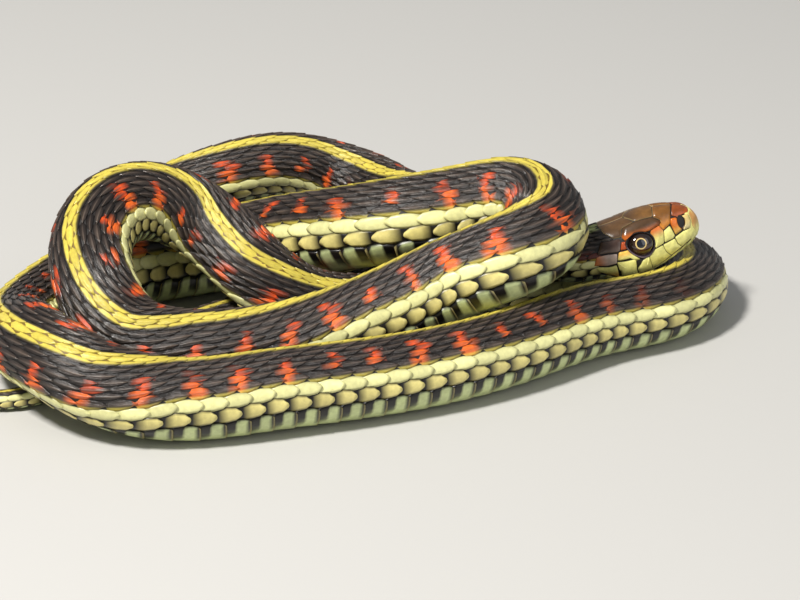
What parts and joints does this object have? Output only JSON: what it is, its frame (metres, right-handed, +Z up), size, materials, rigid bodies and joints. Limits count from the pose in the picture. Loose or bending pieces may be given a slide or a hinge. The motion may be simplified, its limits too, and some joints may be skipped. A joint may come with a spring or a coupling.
{
  "type": "garter snake",
  "caption": "Life-size still model of a garter snake at rest in loose overlapping coils, head raised a little and mouth closed, lying flat on its belly.",
  "frame": {"origin": "middle of the bounding box at the level of the floor", "axes": "+Z up from the floor, +X the way the head looks, +Y to the back of the coils"},
  "size_m": [0.1785, 0.1292, 0.0419],
  "materials": {
    "head": "satin head shields, olive brown with a rust snout",
    "lower_jaw": "satin, pale green",
    "eye": "wet gloss",
    "skin": "keeled scales, near black with yellow stripes and red bars"
  },
  "bodies": {
    "root": {"head": "head", "lower_jaw": "lower_jaw", "eye_left": "eye", "eye_right": "eye", "neck": "skin", "torso_01": "skin", "torso_02": "skin", "torso_03": "skin", "torso_04": "skin", "torso_05": "skin", "torso_06": "skin", "torso_07": "skin", "torso_08": "skin", "torso_09": "skin", "torso_10": "skin", "torso_11": "skin", "torso_12": "skin", "tail_1": "skin", "tail_2": "skin", "tail_3": "skin", "tail_4": "skin"}
  },
  "joints": []
}
